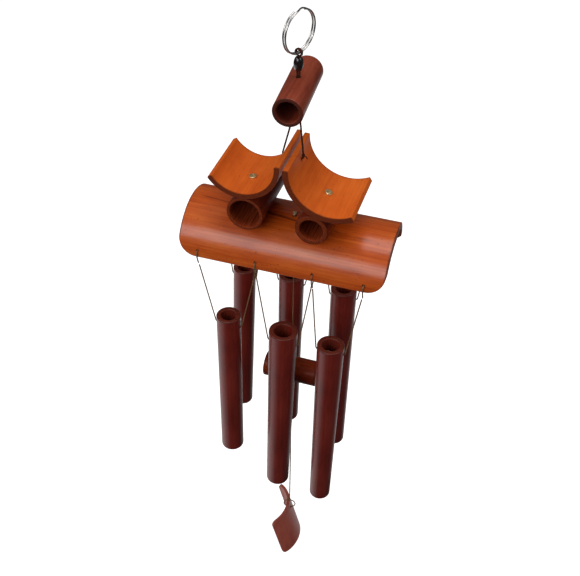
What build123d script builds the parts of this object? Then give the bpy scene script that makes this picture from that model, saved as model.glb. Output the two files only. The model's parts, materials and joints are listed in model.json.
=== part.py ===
from build123d import *
import math
import os

# Bamboo wind chime hung from a split ring.  Millimetres, +Z up.
# Origin: the point inside the top of the ring where a hook bears.
# X runs along the roof beam, -Y is the front.

# ---- split ring ----
ring_outer = 30.0
ring_wire = 1.2
ring_turn_gap = 0.7
ring_heading = 67.0

# ---- hanger cord, bead and top tube ----
cord_dia = 1.4
cord_clear = 0.1
bead_dia = 6.7
bead_length = 9.5
bead_top = 31.4
top_tube_dia = 20.8
top_tube_bore = 15.2
top_tube_length = 60.0
top_tube_drop = 56.0
top_tube_y = 1.0
top_tube_heading = 4.0
top_tube_hole = 3.6
tube_knot_dia = 4.6

# ---- roof beam: a split culm, hollow side down ----
beam_drop = 187.0
beam_length = 155.0
beam_width = 71.0
beam_height = 31.9
beam_wall = 5.0
beam_x = -2.5
beam_y = 2.5
beam_corner = 14.0
beam_end_skew = 5.5
edge_round = 0.8

# ---- support tubes across the beam crest ----
support_x = (-28.7, 19.9)
support_dia = (27.0, 24.1)
support_bore = (21.9, 17.0)
support_sink = (1.2, 2.4)
support_length = 51.0
support_y = -3.0
seat_gap = 0.05

# ---- the two split troughs on the supports ----
trough_radius = (28.4, 34.0)
trough_wall = (3.6, 4.0)
trough_length = 51.0
trough_y = -3.6
screw_y = (-6.5, -2.4)
trough_meet_x = -2.3
trough_gap = 2.0
trough_arc = ((214.0, 364.5), (178.5, 300.0))
trough_corner = 2.5
pivot_hole = 2.4
pivot_above_beam = 78.6

# ---- brass screws ----
screw_head_dia = 5.6
screw_head_height = 1.4
screw_shank_dia = 2.8
screw_point = 1.6
screw_hole_clear = 0.05
screw_tip_past = 1.5
spot_depth = 0.4

# ---- chime strings and their ties round the beam edge ----
string_dia = 1.1
tie_hole = 2.2
tie_hole_height = 5.5
front_hole_x = (-64.5, -20.1, 22.7, 60.3)
back_hole_x = (-72.0, -36.0, 9.0, 52.0)
tie_gap = 0.15
tie_knot_dia = 2.5
tie_knot_drop = 6.2
string_gap = 0.3

# ---- chime tubes: top outer, bottom outer, bore, length, top below the beam, hole below the top ----
front_chimes = (
    (18.8, 18.4, 11.8, 148.0, 51.5, 9.6),
    (22.0, 18.8, 14.1, 175.0, 55.0, 12.6),
    (20.9, 17.2, 13.1, 177.0, 58.5, 7.2),
)
back_chimes = (
    (18.6, 17.6, 11.6, 158.0, 60.0, 9.6),
    (20.8, 18.8, 13.0, 168.0, 57.0, 9.6),
    (21.2, 18.6, 13.2, 181.0, 60.0, 9.6),
)
# each tube hangs a little out of plumb, and may sit off the middle of its string
front_lean = (0.25, 1.28, 1.0)
back_lean = (1.8, 0.6, 0.45)
front_shift = (0.0, 0.0, -2.6)
back_shift = (0.0, 0.0, 0.0)
cross_hole = 2.2
cross_bend = 0.9
rim_round = 0.9
foot_round = 1.6

# ---- clapper, centre string and sail ----
centre_y = -2.0
centre_hole = 3.2
crest_knot_dia = 4.2
clapper_dia = 20.6
clapper_bore = 13.6
clapper_length = 44.0
clapper_drop = 124.0
clapper_hole = 2.4
clapper_knot_dia = 3.6
sail_radius = 29.0
sail_wall = 2.6
sail_half_arc = 57.0
sail_length = 46.0
sail_corner = 5.0
sail_hole = 3.2
sail_hole_below = 6.0
sail_drop = 309.5
sail_tilt = 14.0
sail_heading = 10.0
sail_tie_radius = 5.2
sail_knot_dia = 2.6

os.makedirs("parts", exist_ok=True)

base = -beam_drop
cord_r = cord_dia / 2
string_r = string_dia / 2
string_split = string_r + 0.07
radii_used = []


def save(name, *solids):
    """Write one named node holding its separate solids."""
    flat = []
    for item in solids:
        flat.extend(item.solids())
    shape = flat[0] if len(flat) == 1 else Compound(children=flat)
    export_step(shape, "parts/" + name + ".step")


def rod(start, end, radius):
    """Straight round bar from one point to another."""
    a = Vector(*start)
    b = Vector(*end)
    plane = Plane(origin=a, z_dir=b - a)
    return extrude(plane * Circle(radius), (b - a).length)


def ball(place, dia):
    return Pos(*place) * Sphere(dia / 2)


def cord(points, bends, dia, close=False):
    """Round cord along straight runs joined by tangent arcs."""
    if len(points) == 2:
        return rod(points[0], points[1], dia / 2)
    path = FilletPolyline(*points, radius=bends, close=close)
    radii_used.append((bends, round(path.length, 1)))
    section = Plane(origin=path @ 0, z_dir=path % 0) * Circle(dia / 2)
    return sweep(section, path=path)


def flat_ends(tube, keep_axis, size):
    """Round every circular edge at the ends of a tube."""
    rims = tube.edges().filter_by(GeomType.CIRCLE)
    ends = rims.group_by(keep_axis)
    return fillet(ends[0] + ends[-1], size)


# ---------------------------------------------------------------- split ring
ring_mid = (ring_outer - ring_wire) / 2
ring_z = -(ring_outer / 2 - ring_wire)
ring_pitch = ring_wire + ring_turn_gap
ring_in = Vector(math.cos(math.radians(ring_heading)), math.sin(math.radians(ring_heading)), 0)
ring_normal = Vector(ring_in.Y, -ring_in.X, 0)


def ring_point(angle, side):
    """Point on the ring: angle from the bottom, side along the ring's axis."""
    a = math.radians(angle)
    p = ring_in * (ring_mid * math.sin(a)) + ring_normal * side
    return (p.X, p.Y, ring_z - ring_mid * math.cos(a))


def ring_turn(start, end, side):
    mid = (start + end) / 2
    return ThreePointArc(ring_point(start, side), ring_point(mid, side), ring_point(end, side))


half_pitch = ring_pitch / 2
first = ring_turn(-165, 165, -half_pitch)
second = ring_turn(195, 525, half_pitch)
jog = Spline(
    ring_point(165, -half_pitch),
    ring_point(195, half_pitch),
    tangents=(first % 1, second % 0),
)
ring_path = Wire([first, jog, second])
ring_section = Plane(origin=first @ 0, z_dir=first % 0) * Circle(ring_wire / 2)
split_ring = sweep(ring_section, path=ring_path)
save("split_ring", split_ring)

# ------------------------------------------------- loop of cord on the ring
wire_z = ring_z - ring_mid
loop_radius = half_pitch + ring_wire / 2 + cord_clear + cord_r

loop_plane = Plane(origin=(0, 0, wire_z), z_dir=ring_in)
ring_loop = loop_plane * Torus(loop_radius, cord_r)
save("ring_loop", ring_loop)

# ---------------------------------------------------------------- troughs
crest = base + beam_height
support_z = [crest + support_dia[i] / 2 + seat_gap - support_sink[i] for i in range(2)]
trough_x = (
    trough_meet_x - trough_radius[0] - trough_gap / 2,
    trough_meet_x + trough_radius[1] + trough_gap / 2,
)
trough_z = []
for i in range(2):
    reach = trough_radius[i] + support_dia[i] / 2 + seat_gap
    across = trough_x[i] - support_x[i]
    trough_z.append(support_z[i] + math.sqrt(reach**2 - across**2))
pivot_z = base + pivot_above_beam


def side_x(i, radius, sign):
    """X of the trough wall at the height of the pivot hole."""
    return trough_x[i] + sign * math.sqrt(radius**2 - (pivot_z - trough_z[i]) ** 2)


def screw_line(i):
    """Unit direction from the trough axis down to the support axis."""
    line = Vector(support_x[i] - trough_x[i], 0, support_z[i] - trough_z[i])
    return line.normalized()


def trough(i):
    outer = trough_radius[i]
    inner = outer - trough_wall[i]
    a0, a1 = trough_arc[i]
    front = trough_y - trough_length / 2
    plane = Plane(origin=(trough_x[i], front, trough_z[i]), x_dir=(1, 0, 0), z_dir=(0, -1, 0))
    ring = Circle(outer) - Circle(inner)
    wedge = Polygon(
        (0, 0),
        *[(2 * outer * math.cos(math.radians(a)), 2 * outer * math.sin(math.radians(a)))
          for a in (a0, a0 + (a1 - a0) / 3, a0 + 2 * (a1 - a0) / 3, a1)],
        align=None,
    )
    body = extrude(plane * (ring & wedge), -trough_length)
    body = fillet(body.edges().filter_by(Axis.Y), 0.7)
    line = screw_line(i)
    centre = Vector(trough_x[i], screw_y[i], trough_z[i])
    seat = centre + line * (inner - 0.15)
    body -= rod(seat, centre + line * (outer + 1), screw_shank_dia / 2 + screw_hole_clear)
    body -= rod(centre, seat + line * spot_depth, screw_head_dia / 2 + 0.1)
    start = side_x(0, trough_radius[0] - trough_wall[0], 1) - 4
    end = side_x(1, trough_radius[1] - trough_wall[1], -1) + 4
    body -= rod((start, 0, pivot_z), (end, 0, pivot_z), pivot_hole / 2)
    return body


save("left_trough", trough(0))
save("right_trough", trough(1))


def trough_screw(i):
    line = screw_line(i)
    centre = Vector(trough_x[i], screw_y[i], trough_z[i])
    inner = trough_radius[i] - trough_wall[i]
    seat = centre + line * (inner - 0.15 + spot_depth)
    wall = (support_dia[i] - support_bore[i]) / 2
    tip = seat + line * (trough_wall[i] - 0.25 + seat_gap + wall + screw_tip_past)
    neck = tip - line * screw_point
    plane = Plane(origin=neck, z_dir=line)
    point = loft([plane * Circle(screw_shank_dia / 2), plane.offset(screw_point) * Circle(0.3)])
    head = rod(seat - line * screw_head_height, seat, screw_head_dia / 2)
    crown = head.edges().filter_by(GeomType.CIRCLE).sort_by_distance(centre)[0]
    head = fillet(crown, 0.5)
    body = head + rod(seat, neck, screw_shank_dia / 2) + point
    top = seat - line * screw_head_height
    for turn in (0, 90):
        slot = Plane(origin=top, x_dir=(0, 1, 0), z_dir=line).rotated((0, 0, turn))
        body -= slot * Box(3.2, 0.8, 1.4)
    return body


save("trough_screws", trough_screw(0), trough_screw(1))

# ---------------------------------------------------------------- supports


def support(i):
    axis = (support_x[i], support_y, support_z[i])
    body = Pos(*axis) * Rot(90, 0, 0) * Cylinder(support_dia[i] / 2, support_length)
    body -= Pos(*axis) * Rot(90, 0, 0) * Cylinder(support_bore[i] / 2, support_length + 2)
    body = flat_ends(body, Axis.Y, edge_round)
    line = screw_line(i)
    centre = Vector(support_x[i], screw_y[i], support_z[i])
    hole_r = screw_shank_dia / 2 + screw_hole_clear
    body -= rod(centre - line * (support_dia[i] / 2 + 2), centre - line * 2, hole_r)
    body -= rod((support_x[i], beam_y, support_z[i]), (support_x[i], beam_y, crest - 4), hole_r)
    return body


save("left_support", support(0))
save("right_support", support(1))

# ---------------------------------------------------------------- beam
beam_radius = (beam_width**2 / 4 + beam_height**2) / (2 * beam_height)
beam_axis_z = crest - beam_radius
beam_bore = beam_radius - beam_wall
spot_z = beam_axis_z + beam_bore + spot_depth - 0.15


def beam_reach(radius, height):
    """Half width of the beam's arc at a height above the cut face."""
    return math.sqrt(radius**2 - (base + height - beam_axis_z) ** 2)


def build_beam():
    end = beam_x + beam_length / 2
    plane = Plane(origin=(end, beam_y, beam_axis_z), x_dir=(0, 1, 0), z_dir=(1, 0, 0))
    arc = Circle(beam_radius) - Circle(beam_bore)
    lift = base - beam_axis_z
    keep = Pos(0, lift + beam_radius) * Rectangle(3 * beam_radius, 2 * beam_radius)
    body = extrude(plane * (arc & keep), -beam_length)
    side = Rectangle(beam_length, 2 * beam_height)
    side = fillet(side.vertices().group_by(Axis.Y)[0], beam_corner)
    far = Plane(origin=(beam_x, beam_y + beam_width, crest), x_dir=(1, 0, 0), z_dir=(0, -1, 0))
    body &= extrude(far * side, 2 * beam_width)
    rim = body.edges().filter_by(GeomType.CIRCLE).filter_by(lambda e: e.radius > beam_radius - 1)
    body = fillet(rim, edge_round)
    back_corner = Polygon(
        (end - beam_end_skew, beam_y + beam_width),
        (end, beam_y),
        (end + 1, beam_y),
        (end + 1, beam_y + beam_width),
        align=None,
    )
    body -= extrude(Plane(origin=(0, 0, base - 1)) * back_corner, beam_height + 2)
    for holes, sign in ((front_hole_x, -1), (back_hole_x, 1)):
        for x in holes:
            inside = (x, beam_y + sign * beam_bore * 0.6, base + tie_hole_height)
            outside = (x, beam_y + sign * (beam_radius + 2), base + tie_hole_height)
            body -= rod(inside, outside, tie_hole / 2)
    body -= rod((0, centre_y, base), (0, centre_y, crest + 2), centre_hole / 2)
    hole_r = screw_shank_dia / 2 + screw_hole_clear
    for i in range(2):
        x = support_x[i]
        saddle = support_dia[i] / 2 + seat_gap
        body -= rod((x, beam_y - beam_width, support_z[i]), (x, beam_y + beam_width, support_z[i]), saddle)
        body -= rod((x, beam_y, base), (x, beam_y, crest + 2), hole_r)
        body -= rod((x, beam_y, base), (x, beam_y, spot_z), screw_head_dia / 2 + 0.1)
    return body


save("beam", build_beam())


def support_screw(i):
    x = support_x[i]
    wall = (support_dia[i] - support_bore[i]) / 2
    tip = crest - support_sink[i] + wall + screw_tip_past
    neck = tip - screw_point
    head = rod((x, beam_y, spot_z - screw_head_height), (x, beam_y, spot_z), screw_head_dia / 2)
    crown = head.edges().filter_by(GeomType.CIRCLE).sort_by(Axis.Z)[0]
    head = fillet(crown, 0.5)
    plane = Plane(origin=(x, beam_y, neck))
    point = loft([plane * Circle(screw_shank_dia / 2), plane.offset(screw_point) * Circle(0.3)])
    body = head + rod((x, beam_y, spot_z), (x, beam_y, neck), screw_shank_dia / 2) + point
    for turn in (0, 90):
        body -= Pos(x, beam_y, spot_z - screw_head_height) * Rot(0, 0, turn) * Box(3.2, 0.8, 1.4)
    return body


save("support_screws", support_screw(0), support_screw(1))

# ---------------------------------------------------------------- hanger cord
strand_x = cord_r + 0.02
top_tube_z = -top_tube_drop
tube_under = top_tube_z - top_tube_dia / 2
left_bend_x = side_x(0, trough_radius[0] - trough_wall[0], 1) - 2.9
right_bend_x = side_x(1, trough_radius[1] - trough_wall[1], -1) + 1.5
cord_top = wire_z - loop_radius - cord_r - 0.05
hanger_route = [
    (-strand_x, 0, cord_top),
    (-strand_x, 0, tube_under + 1),
    (left_bend_x, 0, pivot_z),
    (right_bend_x, 0, pivot_z),
    (strand_x, 0, tube_under + 1),
    (strand_x, 0, cord_top),
]
hanger_bends = [12.0, 2.0, 1.0, 40.0]
save("hanger_cord", cord(hanger_route, hanger_bends, cord_dia))

strand_gap = cord_dia + cord_clear


def strand_slot(place, height):
    """Round-ended slot that clears both strands of the doubled cord."""
    slot = SlotOverall(2 * cord_dia + 0.04 + 2 * cord_clear, strand_gap)
    return Pos(*place) * extrude(slot, height / 2, both=True)


bead_z = -bead_top - bead_length / 2
bead_side = Ellipse(bead_dia / 2, bead_length * 0.6) & Pos(bead_dia / 2, 0) * Rectangle(bead_dia, bead_length)
bead = revolve(Plane(origin=(0, 0, bead_z), x_dir=(1, 0, 0), z_dir=(0, -1, 0)) * bead_side, Axis.Z)
bead -= strand_slot((0, 0, bead_z), bead_length + 4)
save("cord_bead", bead)

tube_knot_z = top_tube_z + top_tube_bore / 2 - tube_knot_dia / 2 - string_gap
tube_knot = ball((0, 0, tube_knot_z), tube_knot_dia)
tube_knot -= strand_slot((0, 0, tube_knot_z), tube_knot_dia + 2)
save("tube_knot", tube_knot)

lean = Vector(strand_x - right_bend_x, 0, tube_under + 1 - pivot_z).normalized()
wall_knot_place = Vector(right_bend_x, 0, pivot_z) + lean * 3.6
wall_knot = ball(tuple(wall_knot_place), 3.0)
wall_knot -= rod(wall_knot_place - lean * 3, wall_knot_place + lean * 3, cord_r + 0.03)
save("wall_knot", wall_knot)

top_tube = Pos(0, top_tube_y, top_tube_z) * Rot(90, 0, 0) * Cylinder(top_tube_dia / 2, top_tube_length)
top_tube -= Pos(0, top_tube_y, top_tube_z) * Rot(90, 0, 0) * Cylinder(top_tube_bore / 2, top_tube_length + 2)
top_tube = flat_ends(top_tube, Axis.Y, edge_round)
top_tube = Rot(0, 0, top_tube_heading) * top_tube
top_tube -= rod((0, 0, tube_under - 2), (0, 0, tube_under + top_tube_dia + 2), top_tube_hole / 2)
save("top_tube", top_tube)

# ---------------------------------------------------------------- string ties
tie_cord_z = base + tie_hole_height - tie_hole / 2 + string_r + tie_gap
tie_low = base - 0.2
hang_reach = beam_width / 2 - 1.5
knot_z = base - tie_knot_drop


def tie(x, sign, middle):
    """One string tie: through the hole and round the lower edge of the beam."""
    out = beam_width / 2 + string_r + tie_gap
    inner = beam_reach(beam_bore, tie_hole_height) - string_r - tie_gap

    def at(reach, z):
        return (x, beam_y + sign * reach, z)

    if middle:
        points = [at(out, tie_cord_z), at(out, tie_low), at(hang_reach, knot_z)]
        points += [at(inner, tie_low), at(inner, tie_cord_z)]
        body = cord(points, [0.7, 2.0, 0.6, 2.0, 0.7], string_dia, close=True)
        return body + ball(at(hang_reach, knot_z), tie_knot_dia)
    stop = beam_reach(beam_bore, tie_hole_height) - tie_knot_dia / 2 - tie_gap
    points = [at(stop, tie_cord_z), at(out, tie_cord_z), at(out, tie_low), at(hang_reach, knot_z)]
    body = cord(points, [0.7, 2.0], string_dia)
    return body + ball(at(stop, tie_cord_z), tie_knot_dia)


def ties(holes, sign):
    return [tie(x, sign, 0 < k < 3) for k, x in enumerate(holes)]


save("front_ties", *ties(front_hole_x, -1))
save("back_ties", *ties(back_hole_x, 1))

# ---------------------------------------------------------------- chimes
places = ("left", "middle", "right")


def chime(x, y, size, lean):
    top_dia, foot_dia, bore, length, drop, hole_below = size
    top = base - drop
    middle = Pos(x, y, top - length / 2)
    body = middle * Cone(foot_dia / 2, top_dia / 2, length)
    body -= middle * Cylinder(bore / 2, length + 2)
    rims = body.edges().filter_by(GeomType.CIRCLE)
    upper = rims.group_by(Axis.Z)[-1]
    body = fillet(upper, rim_round)
    foot = body.edges().filter_by(GeomType.CIRCLE).group_by(Axis.Z)[0].sort_by(SortBy.RADIUS)
    body = fillet(foot[-1], foot_round)
    cross = top - hole_below
    slack = string_gap + math.sin(math.radians(lean)) * top_dia / 2
    hole_z = cross - (cross_hole / 2 - string_r - slack)
    body -= rod((x - top_dia, y, hole_z), (x + top_dia, y, hole_z), cross_hole / 2)
    return Pos(x, y, cross) * Rot(0, lean, 0) * Pos(-x, -y, -cross) * body


def chime_string(x0, x1, x, y, size):
    """String from one tie, through the tube and up to the next tie."""
    cross = base - size[4] - size[5]
    reach = size[0] / 2 + cross_bend
    start = knot_z - tie_knot_dia / 2 - string_gap
    points = [
        (x0 + string_split, y, start),
        (x - reach, y, cross),
        (x + reach, y, cross),
        (x1 - string_split, y, start),
    ]
    return cord(points, [cross_bend, cross_bend], string_dia)


for row, holes, sizes, leans, shifts, sign in (
    ("front", front_hole_x, front_chimes, front_lean, front_shift, -1),
    ("back", back_hole_x, back_chimes, back_lean, back_shift, 1),
):
    y = beam_y + sign * hang_reach
    for k, size in enumerate(sizes):
        x = (holes[k] + holes[k + 1]) / 2 + shifts[k]
        save("chime_" + row + "_" + places[k], chime(x, y, size, leans[k]))
        line = chime_string(holes[k], holes[k + 1], x, y, size)
        save("string_" + row + "_" + places[k], line)

# ---------------------------------------------------------------- clapper
crest_here = beam_axis_z + math.sqrt(beam_radius**2 - (centre_y - beam_y) ** 2)
crest_knot_z = crest_here + crest_knot_dia / 2 - 0.1
crest_knot = ball((0, centre_y, crest_knot_z), crest_knot_dia)
crest_knot -= rod((0, centre_y, crest_knot_z - 4), (0, centre_y, crest_knot_z), string_r + 0.3)
save("crest_knot", crest_knot)

clapper_z = base - clapper_drop
clapper = Pos(0, centre_y, clapper_z) * Rot(0, 90, 0) * Cylinder(clapper_dia / 2, clapper_length)
clapper -= Pos(0, centre_y, clapper_z) * Rot(0, 90, 0) * Cylinder(clapper_bore / 2, clapper_length + 2)
clapper = flat_ends(clapper, Axis.X, edge_round)
clapper_low = clapper_z - clapper_dia / 2
clapper -= rod((0, centre_y, clapper_low - 2), (0, centre_y, clapper_z + clapper_dia), clapper_hole / 2)
save("clapper", clapper)

clapper_knot_z = clapper_low - string_gap - clapper_knot_dia / 2
clapper_knot = ball((0, centre_y, clapper_knot_z), clapper_knot_dia)
knot_roof = clapper_knot_z + clapper_knot_dia
clapper_knot -= rod((0, centre_y, clapper_knot_z), (0, centre_y, knot_roof), string_r + 0.03)
save("clapper_knot", clapper_knot)
centre_top = (0, centre_y, crest_knot_z - 0.3)
save("centre_string", rod(centre_top, (0, centre_y, clapper_knot_z + 0.02), string_r))

# ---------------------------------------------------------------- sail
sail_middle = sail_radius - sail_wall / 2
sail_half = math.radians(sail_half_arc)


def build_sail():
    """Slip of culm wall, outward side towards +X, hole at the local origin."""
    plane = Plane(origin=(-sail_middle, 0, sail_hole_below))
    ring = Circle(sail_radius) - Circle(sail_radius - sail_wall)
    far = 2 * sail_radius
    wedge = Polygon(
        (0, 0),
        (far * math.cos(sail_half), -far * math.sin(sail_half)),
        (far, -far * math.tan(sail_half / 2)),
        (far, far * math.tan(sail_half / 2)),
        (far * math.cos(sail_half), far * math.sin(sail_half)),
        align=None,
    )
    body = extrude(plane * (ring & wedge), -sail_length)
    corners = body.edges().filter_by(GeomType.LINE).filter_by(lambda e: abs(e.length - sail_wall) < 0.01)
    body = fillet(corners, sail_corner)
    body -= rod((-sail_wall * 2, 0, 0), (sail_wall * 2, 0, 0), sail_hole / 2)
    return body


sail_hole_at = (0, centre_y, base - sail_drop)
sail_pose = Pos(*sail_hole_at) * Rot(0, 0, sail_heading) * Rot(0, -sail_tilt, 0)
save("sail", sail_pose * build_sail())

heading = math.radians(sail_heading)
across = (-math.sin(heading), math.cos(heading), 0)
tie_plane = Plane(origin=(0, centre_y, sail_hole_at[2] + sail_tie_radius), x_dir=(0, 0, -1), z_dir=across)
sail_knot_at = (0, centre_y, sail_hole_at[2] + 2 * sail_tie_radius + 0.15)
sail_tie = tie_plane * Torus(sail_tie_radius, string_r) + ball(sail_knot_at, sail_knot_dia)
save("sail_tie", sail_tie)

lower_top = (0, centre_y, clapper_knot_z - clapper_knot_dia / 2 - string_gap)
lower_end = (0, centre_y, sail_knot_at[2] + sail_knot_dia / 2 + string_gap)
save("lower_string", rod(lower_top, lower_end, string_r))

for entry in radii_used:
    print("bend radii", entry[0], "length", entry[1])
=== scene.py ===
import json
import math
import bmesh
import bpy
from mathutils import Matrix, Vector

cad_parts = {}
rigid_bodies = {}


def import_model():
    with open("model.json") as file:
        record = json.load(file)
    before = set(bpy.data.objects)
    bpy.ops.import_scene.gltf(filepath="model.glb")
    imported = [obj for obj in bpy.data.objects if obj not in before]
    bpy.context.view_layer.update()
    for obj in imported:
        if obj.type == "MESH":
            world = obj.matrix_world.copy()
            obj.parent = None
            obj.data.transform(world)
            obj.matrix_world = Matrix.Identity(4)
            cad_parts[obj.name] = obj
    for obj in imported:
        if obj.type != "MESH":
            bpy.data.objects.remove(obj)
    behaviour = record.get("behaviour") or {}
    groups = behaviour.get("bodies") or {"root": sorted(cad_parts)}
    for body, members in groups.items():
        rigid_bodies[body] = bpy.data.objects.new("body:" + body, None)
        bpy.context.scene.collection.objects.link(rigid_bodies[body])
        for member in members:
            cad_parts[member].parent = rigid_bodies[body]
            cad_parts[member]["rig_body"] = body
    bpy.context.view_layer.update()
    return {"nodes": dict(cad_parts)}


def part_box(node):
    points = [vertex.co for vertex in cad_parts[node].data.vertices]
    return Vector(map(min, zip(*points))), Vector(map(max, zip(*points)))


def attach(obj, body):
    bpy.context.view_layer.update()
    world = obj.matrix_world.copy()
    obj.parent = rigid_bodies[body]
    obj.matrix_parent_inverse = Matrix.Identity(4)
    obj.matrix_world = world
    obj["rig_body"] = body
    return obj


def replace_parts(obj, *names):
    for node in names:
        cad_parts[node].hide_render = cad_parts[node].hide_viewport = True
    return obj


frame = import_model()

nodes = frame["nodes"]
MM = 0.001
X, Y, Z = 0, 1, 2
UP = Vector((0, 0, 1))

STRING_DIA = 1.1 * MM
STRING_LAY = 3.5 * MM     # one full twist of the string's plies
STRING_STRAND = 0.85      # the string where a knot pulls it thin, in millimetres
CORD_DIA = 1.4 * MM
CORD_LAY = 4.2 * MM


# ------------------------------------------------------------------ materials
class Value:
    """One output of a shader node; arithmetic on it adds Math nodes."""

    def __init__(self, shading, socket):
        self.shading = shading
        self.socket = socket

    def maths(self, operation, *terms):
        return self.shading.node("ShaderNodeMath", {"operation": operation}, dict(enumerate(terms)))

    def __add__(self, other):
        return self.maths("ADD", self, other)

    def __sub__(self, other):
        return self.maths("SUBTRACT", self, other)

    def __rsub__(self, other):
        return self.maths("SUBTRACT", other, self)

    def __mul__(self, other):
        return self.maths("MULTIPLY", self, other)

    def __pow__(self, other):
        return self.maths("POWER", self, other)

    __radd__ = __add__
    __rmul__ = __mul__

    def size(self):
        return self.maths("ABSOLUTE", self)

    def step(self, start, end):
        """Smooth 0 to 1 as the value goes from start to end."""
        settings = {"interpolation_type": "SMOOTHSTEP"}
        return self.shading.node("ShaderNodeMapRange", settings, {0: self, 1: start, 2: end})


class Shading:
    """A node tree of a material or of the world, built one node at a time."""

    def __init__(self, tree):
        self.tree = tree

    def node(self, kind, settings=None, sockets=None, output=0):
        made = self.tree.nodes.new(kind)
        for key, value in (settings or {}).items():
            if key == "stops":
                ramp = made.color_ramp.elements
                while len(ramp) < len(value):
                    ramp.new(0.5)
                for stop, (place, colour) in zip(ramp, value):
                    stop.position = place
                    stop.color = (*colour, 1.0)
            else:
                setattr(made, key, value)
        for key, value in (sockets or {}).items():
            self.feed(made.inputs[key], value)
        return Value(self, made.outputs[output])

    def feed(self, socket, value):
        if isinstance(value, Value):
            self.tree.links.new(value.socket, socket)
        elif hasattr(value, "__len__") and socket.type == "RGBA":
            socket.default_value = (*value, 1.0)
        else:
            socket.default_value = value

    def mix(self, amount, low, high):
        settings = {"data_type": "RGBA", "blend_type": "MIX", "clamp_factor": True}
        return self.node("ShaderNodeMix", settings, {0: amount, 6: low, 7: high}, 2)

    def noise(self, x, y, z, detail=3.0, rough=0.5):
        where = self.node("ShaderNodeCombineXYZ", {}, {0: x, 1: y, 2: z})
        sockets = {"Vector": where, "Scale": 1.0, "Detail": detail, "Roughness": rough}
        return self.node("ShaderNodeTexNoise", {}, sockets)

    def coordinates(self, kind):
        """The x, y and z of one kind of texture coordinate."""
        where = self.node("ShaderNodeTexCoord", {}, {}, kind)
        return [self.node("ShaderNodeSeparateXYZ", {}, {0: where}, axis) for axis in (X, Y, Z)]


class Finish(Shading):
    """One procedural material."""

    def __init__(self, name):
        self.material = bpy.data.materials.new(name)
        self.material.use_nodes = True
        super().__init__(self.material.node_tree)
        self.shader = self.tree.nodes["Principled BSDF"]

    def bump(self, height, distance, strength=1.0):
        sockets = {"Strength": strength, "Distance": distance, "Height": height}
        return self.node("ShaderNodeBump", {}, sockets)

    def set(self, **sockets):
        for name, value in sockets.items():
            self.feed(self.shader.inputs[name.replace("_", " ")], value)
        return self.material


RIM = (0.3 * MM, 1.6 * MM)         # depth of the dark rim at a cut end
BORE_EDGE = (0.2 * MM, 0.6 * MM)   # how far past its radius the bore's bare wall and its painted shade fade out
GRAIN_DEPTH = 0.14 * MM


def bamboo(name, axis, node, palette, bore=0.0, wear=1.0, gloss=0.45, coat=0.2, grain=1.0,
           streak=None, sheen=0.2, polish=0.25):
    """Stained, varnished bamboo: fibres along one axis, darker cut ends, and a bore whose bare,
    unvarnished wall is mixed towards the deep stain as painted shade.

    Noise is scaled in waves per metre, far more across the fibres than along them.
    """
    deep, rich, pale, cut, inner = palette
    f = Finish(name)
    spot = f.coordinates("Object")
    face = f.coordinates("Normal")
    middle, half = mid_and_half(node)
    along = spot[axis] - middle[axis]
    u, v = [spot[k] - middle[k] for k in (X, Y, Z) if k != axis]

    fibre = f.noise(u * 1900, v * 1900, along * 45, 5.0, 0.6)
    vein = f.noise(u * 520, v * 520, along * 9)
    cloud = f.noise(u * 70, v * 70, along * 28, 3.0, 0.55)
    pore = f.noise(u * 900, v * 900, along * 520, 1.0, 0.4)
    tone = 0.5 + (fibre - 0.5) * 0.55 * grain + (vein - 0.5) * 0.75 * grain + (cloud - 0.5) * 0.9
    stops = [(0.15, deep), (0.5, rich), (0.85, pale)]
    colour = f.node("ShaderNodeValToRGB", {"stops": stops}, {0: tone})
    colour = f.mix(pore.step(0.70, 0.76) * 0.55 * wear, colour, cut)

    if streak:
        offset, slope, width = streak
        line = u - offset - along * slope + (vein - 0.5) * 0.002 + (cloud - 0.5) * 0.004
        dark = 1 - line.size().step(width * 0.15, width)
        patch = f.noise(u * 50, v * 50, along * 30 + 4.0, 2.0)
        colour = f.mix(dark * patch.step(0.42, 0.6) * 0.75, colour, cut)

    rim = 1 - (half[axis] - along.size() + (vein - 0.5) * 0.0008).step(*RIM)
    colour = f.mix(rim * 0.8 * wear, colour, cut)
    end_face = face[axis].size().step(0.55, 0.85)
    fibre_ends = f.noise(u * 2600, v * 2600, along * 90, 2.0)
    end_colour = f.mix(fibre_ends.step(0.35, 0.65), cut, inner)
    colour = f.mix(end_face * 0.9, colour, end_colour)
    rough = gloss + (fibre - 0.5) * 0.14 + (cloud - 0.5) * 0.16 + end_face * 0.12
    varnish = coat * (1 - end_face) * (0.75 + cloud * 0.5)

    if bore:
        reach = (u * u + v * v) ** 0.5
        bore_wall_and_shade = (1 - reach.step(bore + BORE_EDGE[0], bore + BORE_EDGE[1])) * (1 - end_face)
        # The bore's colour is partly the bare wall's own and partly painted shade: inside the hollow it
        # mixes towards the deep stain.
        colour = f.mix(bore_wall_and_shade, colour, f.mix(fibre.step(0.35, 0.65), deep, inner))
        rough = rough + bore_wall_and_shade * 0.25
        varnish = varnish * (1 - bore_wall_and_shade)

    height = fibre * 0.5 + vein * 0.8 + cloud * 2.5 - pore.step(0.66, 0.8) * 0.4
    return f.set(Base_Color=colour, Roughness=rough, Coat_Weight=varnish, Coat_Roughness=polish,
                 Normal=f.bump(height, GRAIN_DEPTH, 0.5), Specular_IOR_Level=sheen)


def metal(name, light, dark, rough, scratch):
    """Plated or turned metal with fine scratches and dulled patches."""
    f = Finish(name)
    x, y, z = f.coordinates("Object")
    patch = f.noise(x * 700, y * 700, z * 700)
    line = f.noise(x * 9000, y * 1500, z * 1500, 2.0)
    colour = f.mix(patch.step(0.35, 0.7), light, dark)
    return f.set(Base_Color=colour, Metallic=1.0, Roughness=rough + patch * 0.12 + line * 0.08,
                 Normal=f.bump(line, 0.02 * MM, scratch))


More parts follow.
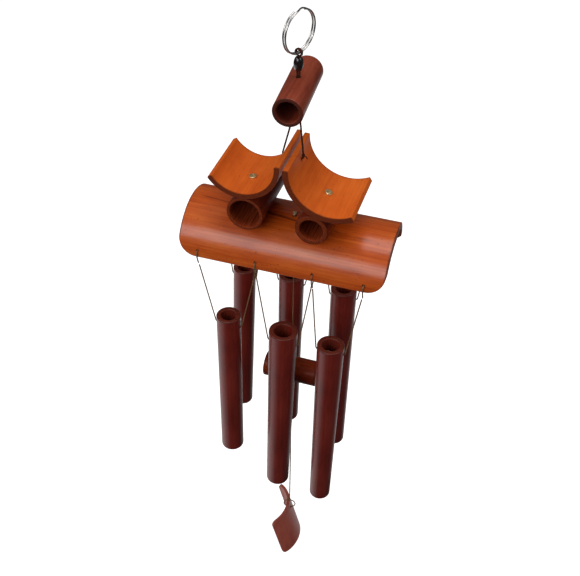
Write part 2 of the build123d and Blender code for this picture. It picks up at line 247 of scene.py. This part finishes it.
def cord_finish(name, dark, light):
    """Twisted fibre: fine fuzz and lighter crowns, at thread scale."""
    f = Finish(name)
    x, y, z = f.coordinates("Object")
    fuzz = f.noise(x * 5200, y * 5200, z * 2600, 3.0, 0.6)
    soil = f.noise(x * 300, y * 300, z * 160, 2.0)
    colour = f.mix(fuzz.step(0.3, 0.7) * 0.7 + soil * 0.3, dark, light)
    return f.set(Base_Color=colour, Roughness=0.8, Normal=f.bump(fuzz, 0.08 * MM, 0.6),
                 Specular_IOR_Level=0.15)


def glossy_black(name):
    """A lacquered bead with a faint haze."""
    f = Finish(name)
    x, y, z = f.coordinates("Object")
    haze = f.noise(x * 900, y * 900, z * 900)
    colour = f.mix(haze.step(0.4, 0.7), (0.006, 0.004, 0.004), (0.02, 0.012, 0.01))
    return f.set(Base_Color=colour, Roughness=0.14 + haze * 0.12, Coat_Weight=0.4 + haze * 0.1,
                 Coat_Roughness=0.08, Normal=f.bump(haze, 0.05 * MM, 0.3))


# ------------------------------------------------------------------ pieces of the frame
def dress(node, material):
    data = nodes[node].data
    data.materials.clear()
    data.materials.append(material)


def mid_and_half(node):
    low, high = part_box(node)
    return (low + high) / 2, (high - low) / 2


def body_of(node):
    return nodes[node]["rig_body"]


# ------------------------------------------------------------------ string, cord and knots
PLIES = 3
PLY_SIDES = 6
PLY_RADIUS = 0.29         # share of the string's diameter
PLY_OFFSET = 0.21         # share of the string's diameter
POINTS_PER_LAY = 9
CURVE_STEPS = 16
KNOT_STEPS = 72
LOOP_STEPS = 48
HITCH_STEPS = 60


def curve_points(name, route, cyclic=False):
    """The smooth line through a route in millimetres, read back as points in metres."""
    data = bpy.data.curves.new(name + "_line", "CURVE")
    data.dimensions = "3D"
    spline = data.splines.new("NURBS")
    spline.points.add(len(route) - 1)
    for point, place in zip(spline.points, route):
        point.co = (place[X] * MM, place[Y] * MM, place[Z] * MM, 1.0)
    spline.order_u = 3
    spline.use_endpoint_u = not cyclic
    spline.use_cyclic_u = cyclic
    spline.resolution_u = CURVE_STEPS
    line = bpy.data.objects.new(name + "_line", data)
    bpy.context.scene.collection.objects.link(line)
    bpy.context.view_layer.update()
    mesh = bpy.data.meshes.new_from_object(line)
    points = [vertex.co.copy() for vertex in mesh.vertices]
    bpy.data.meshes.remove(mesh)
    bpy.data.objects.remove(line)
    bpy.data.curves.remove(data)
    return points


def even(points, gap, cyclic=False):
    """The same line with its points evenly spaced."""
    if cyclic:
        points = points + [points[0]]
    reach = [0.0]
    for a, b in zip(points, points[1:]):
        reach.append(reach[-1] + (b - a).length)
    count = max(2, int(round(reach[-1] / gap)))
    spaced = []
    k = 0
    for n in range(count + 1):
        want = reach[-1] * n / count
        while k < len(points) - 2 and reach[k + 1] < want:
            k += 1
        span = max(reach[k + 1] - reach[k], 1e-9)
        share = min(1.0, max(0.0, (want - reach[k]) / span))
        spaced.append(points[k].lerp(points[k + 1], share))
    return spaced[:-1] if cyclic else spaced


def cross_axes(points, cyclic=False):
    """Two directions across a line at each point, which turn as little as they can along it."""
    found = []
    last = len(points) - 1
    side = None
    for n in range(last + 1):
        ahead = points[(n + 1) % (last + 1)] if cyclic else points[min(n + 1, last)]
        behind = points[n - 1] if cyclic or n else points[0]
        along = (ahead - behind).normalized()
        if side is None:
            side = along.orthogonal().normalized()
        side = (side - along * side.dot(along)).normalized()
        found.append((side, along.cross(side).normalized()))
    return found


def strands_mesh(name, lines, radius, cyclic=False):
    """One mesh of round strands, one along each line."""
    bm = bmesh.new()
    for points in lines:
        rings = []
        for point, (a, b) in zip(points, cross_axes(points, cyclic)):
            ring = []
            for s in range(PLY_SIDES):
                turn = 2 * math.pi * s / PLY_SIDES
                offset = a * (radius * math.cos(turn)) + b * (radius * math.sin(turn))
                ring.append(bm.verts.new(point + offset))
            rings.append(ring)
        pairs = list(zip(rings, rings[1:]))
        if cyclic:
            pairs.append((rings[-1], rings[0]))
        for low, high in pairs:
            for s in range(PLY_SIDES):
                t = (s + 1) % PLY_SIDES
                bm.faces.new((low[s], low[t], high[t], high[s]))
        if not cyclic:
            bm.faces.new(list(reversed(rings[0])))
            bm.faces.new(rings[-1])
    mesh = bpy.data.meshes.new(name)
    bm.to_mesh(mesh)
    bm.free()
    for polygon in mesh.polygons:
        polygon.use_smooth = True
    return mesh


def twisted(name, points, dia, lay, body, material, cyclic=False):
    """Laid string: its plies go once round the line in each lay."""
    points = even(points, lay / POINTS_PER_LAY, cyclic)
    across = cross_axes(points, cyclic)
    gap = (points[1] - points[0]).length
    count = len(points)
    turns = round(count * gap / lay) if cyclic else count * gap / lay
    lines = []
    for ply in range(PLIES):
        line = []
        for n, (point, (a, b)) in enumerate(zip(points, across)):
            turn = 2 * math.pi * (turns * n / count + ply / PLIES)
            line.append(point + (a * math.cos(turn) + b * math.sin(turn)) * (dia * PLY_OFFSET))
        lines.append(line)
    piece = bpy.data.objects.new(name, strands_mesh(name, lines, dia * PLY_RADIUS, cyclic))
    bpy.context.scene.collection.objects.link(piece)
    piece.data.materials.append(material)
    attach(piece, body)
    return piece


def free_cord(node, route, dia, lay, material):
    """A cord that carries weight, laid along its route and measured."""
    points = curve_points(node, route)
    piece = twisted(node + "_laid", points, dia, lay, body_of(node), material)
    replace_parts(piece, node)


def knot(node, name, place, size, strand, lean, material):
    """An overhand knot pulled tight into a ball; sizes in millimetres, lean about x and y."""
    reach = (size * MM - strand * MM) / 2
    tilt = Matrix.Rotation(lean[0], 3, "X") @ Matrix.Rotation(lean[1], 3, "Y")
    points = []
    for n in range(KNOT_STEPS):
        t = 2 * math.pi * n / KNOT_STEPS
        trefoil = Vector((math.sin(t) + 2 * math.sin(2 * t), math.cos(t) - 2 * math.cos(2 * t),
                          -math.sin(3 * t) * 1.5))
        points.append(Vector(place) * MM + tilt @ (trefoil * (reach / 3.0)))
    return twisted(name, points, strand * MM, strand * MM * 4, body_of(node), material, cyclic=True)


def on_circle(centre, across, rise, radius, turn):
    """A point of an upright circle, turned from its rise towards across."""
    return centre + across * (radius * math.sin(turn)) + rise * (radius * math.cos(turn))


def joined(pieces, name):
    bpy.ops.object.select_all(action="DESELECT")
    for piece in pieces:
        piece.select_set(True)
    bpy.context.view_layer.objects.active = pieces[0]
    bpy.ops.object.join()
    pieces[0].name = name
    return pieces[0]


# ------------------------------------------------------------------ camera
camera_data = bpy.data.cameras.new("camera")
camera_data.lens = 60.95
camera_data.sensor_width = 36.0
camera_data.clip_start = 0.01
camera = bpy.data.objects.new("camera", camera_data)
bpy.context.scene.collection.objects.link(camera)
camera.location = (0.1657, -0.5464, 0.2650)
aim = Vector((-0.0034, 0.0, -0.2268)) - camera.location
roll = Matrix.Rotation(math.radians(0.89), 3, "Z")
turned = aim.to_track_quat("-Z", "Y").to_matrix() @ roll
camera.matrix_world = Matrix.Translation(camera.location) @ turned.to_4x4()
bpy.context.scene.camera = camera

# ------------------------------------------------------------------ bamboo
# Each stain: deep, rich and pale grain, cut fibre, and the bore's wall; the deep grain also serves as
# painted shade inside the bore.
AMBER = ((0.36, 0.044, 0.003), (0.54, 0.085, 0.007), (0.68, 0.145, 0.018),
         (0.080, 0.012, 0.004), (0.30, 0.055, 0.010))
SADDLE = ((0.52, 0.080, 0.008), (0.68, 0.125, 0.013), (0.80, 0.180, 0.024),
          (0.090, 0.014, 0.005), (0.20, 0.034, 0.010))
RUSSET = ((0.110, 0.011, 0.003), (0.200, 0.024, 0.006), (0.30, 0.046, 0.011),
          (0.070, 0.010, 0.004), (0.34, 0.055, 0.012))
CLARET = ((0.150, 0.022, 0.010), (0.250, 0.042, 0.018), (0.34, 0.070, 0.032),
          (0.050, 0.009, 0.005), (0.10, 0.016, 0.008))
WINE = ((0.110, 0.0075, 0.0045), (0.210, 0.0170, 0.0100), (0.31, 0.036, 0.021),
        (0.050, 0.007, 0.004), (0.20, 0.026, 0.009))
ROSE = ((0.380, 0.078, 0.052), (0.560, 0.125, 0.085), (0.68, 0.180, 0.125),
        (0.140, 0.022, 0.012), (0.52, 0.130, 0.090))

BEAM_STREAK = (-8.5 * MM, -0.083, 1.3 * MM)      # offset at mid length, slope, width
BEAM_LOOK = {"palette": AMBER, "streak": BEAM_STREAK, "coat": 0.8, "sheen": 0.12, "polish": 0.22}
TROUGH_LOOK = {"palette": SADDLE, "wear": 0.6, "gloss": 0.5, "coat": 0.1, "grain": 0.6, "sheen": 0.12}
PLAIN_LOOK = {"palette": RUSSET, "coat": 0.1, "sheen": 0.1}
SAIL_LOOK = {"palette": ROSE, "wear": 0.5, "grain": 0.6, "sheen": 0.3}
CHIME_LOOK = {"palette": WINE, "grain": 0.7, "gloss": 0.36, "sheen": 0.38}

bamboo_pieces = [
    ("beam", X, 0.0, BEAM_LOOK),
    ("left_trough", Y, 0.0, TROUGH_LOOK),
    ("right_trough", Y, 0.0, TROUGH_LOOK),
    ("left_support", Y, 10.95, PLAIN_LOOK),
    ("right_support", Y, 8.5, PLAIN_LOOK),
    ("top_tube", Y, 7.6, {"palette": CLARET}),
    ("clapper", X, 6.8, PLAIN_LOOK),
    ("sail", Z, 0.0, SAIL_LOOK),
]
for node, fibre_axis, bore_radius, look in bamboo_pieces:
    dress(node, bamboo(node + "_bamboo", fibre_axis, node, bore=bore_radius * MM, **look))

chime_bores = {"front_left": 5.9, "front_middle": 7.05, "front_right": 6.55,
               "back_left": 5.8, "back_middle": 6.5, "back_right": 6.6}
for where, bore_radius in chime_bores.items():
    node = "chime_" + where
    dress(node, bamboo("chime_bamboo_" + where, Z, node, bore=bore_radius * MM, **CHIME_LOOK))

# ------------------------------------------------------------------ metal, bead and string
nickel = metal("nickel_wire", (0.62, 0.60, 0.58), (0.50, 0.48, 0.46), 0.16, 0.2)
brass = metal("screw_brass", (0.86, 0.72, 0.42), (0.62, 0.46, 0.22), 0.34, 0.3)
dress("split_ring", nickel)
dress("trough_screws", brass)
dress("support_screws", brass)
dress("cord_bead", glossy_black("bead_black"))
brown_cord = cord_finish("brown_cord", (0.022, 0.006, 0.003), (0.095, 0.028, 0.013))
tan_twine = cord_finish("tan_twine", (0.100, 0.048, 0.020), (0.36, 0.21, 0.105))
pale_twine = cord_finish("pale_twine", (0.30, 0.19, 0.10), (0.60, 0.45, 0.28))

# ------------------------------------------------------------------ cords
hanger_route = [
    (-0.72, 0, -31.3), (-0.72, 0, -58.0), (-0.72, 0, -65.4), (-2.4, 0, -72.5), (-9.3, 0, -101.4),
    (-10.96, 0, -108.4), (5.1, 0, -108.4), (4.5, 0, -102.5), (1.4, 0, -72.5), (0.72, 0, -65.4),
    (0.72, 0, -58.0), (0.72, 0, -31.3),
]
free_cord("hanger_cord", hanger_route, CORD_DIA, CORD_LAY, brown_cord)

# Each tube's string, from its left tie through the tube to its right tie.
chime_routes = {
    "front_left": [
        (-63.88, -31.5, -194.75), (-53.6, -31.5, -243.4), (-52.6, -31.5, -248.1), (-50.1, -31.5, -248.1),
        (-34.5, -31.5, -248.1), (-32.0, -31.5, -248.1), (-31.0, -31.5, -243.4), (-20.72, -31.5, -194.75)],
    "front_middle": [
        (-19.48, -31.5, -194.75), (-11.3, -31.5, -249.9), (-10.6, -31.5, -254.6), (-8.1, -31.5, -254.6),
        (10.7, -31.5, -254.6), (13.2, -31.5, -254.6), (13.9, -31.5, -249.9), (22.08, -31.5, -194.75)],
    "front_right": [
        (23.32, -31.5, -194.75), (27.2, -31.5, -247.9), (27.55, -31.5, -252.7), (30.0, -31.5, -252.7),
        (47.8, -31.5, -252.7), (50.25, -31.5, -252.7), (50.95, -31.5, -247.9), (59.68, -31.5, -194.75)],
    "back_left": [
        (-71.38, 36.5, -194.75), (-64.8, 36.5, -251.8), (-64.2, 36.5, -256.6), (-61.7, 36.5, -256.6),
        (-46.3, 36.5, -256.6), (-43.8, 36.5, -256.6), (-43.2, 36.5, -251.8), (-36.62, 36.5, -194.75)],
    "back_middle": [
        (-35.38, 36.5, -194.75), (-25.7, 36.5, -248.9), (-24.8, 36.5, -253.6), (-22.3, 36.5, -253.6),
        (-4.7, 36.5, -253.6), (-2.2, 36.5, -253.6), (-1.3, 36.5, -248.9), (8.38, 36.5, -194.75)],
    "back_right": [
        (9.62, 36.5, -194.75), (18.3, 36.5, -251.8), (19.0, 36.5, -256.6), (21.5, 36.5, -256.6),
        (39.5, 36.5, -256.6), (42.0, 36.5, -256.6), (42.7, 36.5, -251.8), (51.38, 36.5, -194.75)],
}
for where, route in chime_routes.items():
    free_cord("string_" + where, route, STRING_DIA, STRING_LAY, tan_twine)

centre_route = [(0, -2, -153.68), (0.1, -2, -195), (-0.1, -2, -250), (0, -2, -300), (0, -2, -323.3)]
free_cord("centre_string", centre_route, STRING_DIA, STRING_LAY, tan_twine)
lower_route = [(0, -2, -325.5), (-0.1, -2, -370), (0.1, -2.1, -430), (0, -2, -484.35)]
free_cord("lower_string", lower_route, STRING_DIA, STRING_LAY, tan_twine)

# ------------------------------------------------------------------ knots on the hanging line
# Node, centre, size, strand, lean, finish and slot.
line_knots = [
    ("tube_knot", (0, 0, -51.0), 4.5, 1.4, (0.3, 0.2), brown_cord, "dark_cord"),
    ("wall_knot", (4.75, 0, -104.8), 3.0, 1.0, (1.2, 0.5), brown_cord, "dark_cord"),
    ("crest_knot", (0, -2, -153.4), 3.7, 1.2, (0.5, 0.3), pale_twine, "toggle"),
    ("clapper_knot", (0, -2, -323.4), 3.6, 1.0, (0.2, 0.6), tan_twine, "twine"),
]
tied = {}
for node, centre, size, strand, lean, material, slot in line_knots:
    tied[node] = knot(node, node + "_tied", centre, size, strand, lean, material)

tail_route = ((4.2, -0.5, -105.3), (5.6, -1.2, -104.3), (7.4, -1.6, -104.6), (8.2, -1.7, -106.0))
tail_line = [Vector(place) * MM for place in tail_route]
tail = twisted("wall_knot_tail", tail_line, 0.8 * MM, 2.6 * MM, body_of("wall_knot"), brown_cord)
tied["wall_knot"] = joined([tied["wall_knot"], tail], "wall_knot_tied")
for node, piece in tied.items():
    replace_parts(piece, node)

# ------------------------------------------------------------------ the cord's turns on the ring
RING_HEADING = math.radians(67)
HITCH_CENTRE = Vector((0, 0, -28.2))
HITCH_RADIUS = 2.35
HITCH_WIDTH = 1.4
HITCH_START = -150
HITCH_SWEEP = 660
ring_side = Vector((math.sin(RING_HEADING), -math.cos(RING_HEADING), 0))
ring_line = Vector((math.cos(RING_HEADING), math.sin(RING_HEADING), 0))
hitch = []
for n in range(HITCH_STEPS + 1):
    turn = math.radians(HITCH_START + HITCH_SWEEP * n / HITCH_STEPS)
    drift = ring_line * (HITCH_WIDTH * (n / HITCH_STEPS - 0.5))
    hitch.append(on_circle(HITCH_CENTRE + drift, ring_side, UP, HITCH_RADIUS, turn) * MM)
ring_hitch = twisted("ring_hitch", hitch, CORD_DIA, CORD_LAY, body_of("ring_loop"), brown_cord)
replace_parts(ring_hitch, "ring_loop")

# ------------------------------------------------------------------ ties on the beam's edges
BEAM_CENTRE_Y = 2.5
HOLE_HEIGHT = -181.9
LOOP_KNOT = (34.0, -193.2)       # reach from the beam's centre, and height
STOPPER_KNOT = (27.86, -181.9)   # the same, inside the wall


def tie_route(x, sign, is_loop):
    """Route of one tie: a loop round the lower edge, or a string out of its hole and down."""
    if is_loop:
        route = [(36.2, HOLE_HEIGHT), (36.2, -186.6), (35.4, -190.5), (34.0, -193.2),
                 (31.0, -190.2), (28.56, -186.8), (28.56, HOLE_HEIGHT)]
    else:
        route = [(28.6, HOLE_HEIGHT), (33.5, HOLE_HEIGHT), (36.2, -181.8), (36.2, -184.4),
                 (36.2, -187.2), (34.1, -193.0)]
    return [(x, BEAM_CENTRE_Y + sign * reach, height) for reach, height in route]


def tied_row(node, holes, sign):
    """Four ties: the middle two are loops, and the end two start at a stopper knot."""
    made = []
    for k, x in enumerate(holes):
        is_loop = 0 < k < len(holes) - 1
        points = curve_points(node, tie_route(x, sign, is_loop), cyclic=is_loop)
        made.append(twisted(node + "_loop_" + str(k), points, STRING_DIA, STRING_LAY, body_of(node),
                            tan_twine, cyclic=is_loop))
        reach, height = LOOP_KNOT if is_loop else STOPPER_KNOT
        centre = (x, BEAM_CENTRE_Y + sign * reach, height)
        made.append(knot(node, node + "_knot_" + str(k), centre, 2.6, STRING_STRAND,
                         (0.4 + k, 0.3 * k), tan_twine))
    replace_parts(joined(made, node + "_laid"), node)


tied_row("front_ties", (-64.5, -20.1, 22.7, 60.3), -1)
tied_row("back_ties", (-72.0, -36.0, 9.0, 52.0), 1)

# ------------------------------------------------------------------ the sail's tie
SAIL_HEADING = math.radians(10)
SAIL_LOOP_CENTRE = Vector((0, -2, -491.3))
SAIL_LOOP_RADIUS = 5.2
sail_across = Vector((math.cos(SAIL_HEADING), math.sin(SAIL_HEADING), 0))
sail_loop = []
for n in range(LOOP_STEPS):
    turn = 2 * math.pi * n / LOOP_STEPS
    sail_loop.append(on_circle(SAIL_LOOP_CENTRE, sail_across, -UP, SAIL_LOOP_RADIUS, turn) * MM)
sail_string = twisted("sail_loop_string", sail_loop, STRING_DIA, STRING_LAY, body_of("sail_tie"),
                      tan_twine, cyclic=True)
sail_knot = knot("sail_tie", "sail_loop_knot", (0, -2, -485.95), 2.8, STRING_STRAND, (0.6, 0.2),
                 tan_twine)
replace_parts(joined([sail_string, sail_knot], "sail_tie_laid"), "sail_tie")

# ------------------------------------------------------------------ studio
bpy.ops.mesh.primitive_plane_add(size=8.0, location=(0, 0.6, -0.551))
floor = bpy.context.object
floor.name = "floor"
paper = Finish("paper")
floor.data.materials.append(paper.set(Base_Color=(0.85, 0.85, 0.85), Roughness=0.9,
                                      Emission_Color=(1, 1, 1), Emission_Strength=0.80))
floor.visible_glossy = False
floor.visible_diffuse = False

# The surroundings are bright low down, to the left and behind, and dim above.
world = bpy.data.worlds.new("studio")
bpy.context.scene.world = world
world.use_nodes = True
room = Shading(world.node_tree)
sky = world.node_tree.nodes["Background"]
x, y, z = room.coordinates("Generated")
left = (0 - x).step(0.05, 0.75)
behind = y.step(0.25, 0.95)
above = z.step(-0.1, 0.6)
below = 1 - z.step(-0.6, -0.3)
room.feed(sky.inputs["Strength"], 0.05 + below * (left * 0.95 + behind * 1.0) + above * 0.06)
sky.inputs["Color"].default_value = (1, 1, 1, 1)


def softbox(name, place, aim_at, size, power):
    """A rectangular lamp at a place, pointed at another."""
    data = bpy.data.lights.new(name, "AREA")
    data.shape = "RECTANGLE"
    data.size, data.size_y = size
    data.energy = power
    lamp = bpy.data.objects.new(name, data)
    bpy.context.scene.collection.objects.link(lamp)
    lamp.location = place
    lamp.rotation_euler = (Vector(aim_at) - Vector(place)).to_track_quat("-Z", "Y").to_euler()


softbox("front_box", (-0.30, -1.10, 0.50), (0, 0, -0.2), (0.9, 0.55), 6.5)
softbox("left_box", (-1.1, -0.5, 0.75), (0, 0, -0.25), (0.8, 0.8), 3.5)
softbox("right_box", (1.1, -0.1, 0.75), (0, 0, -0.25), (0.8, 0.8), 4.0)
softbox("top_box", (0.1, 0.0, 1.1), (0, 0, -0.2), (0.8, 0.8), 7.0)
bpy.context.scene.view_settings.view_transform = "Standard"
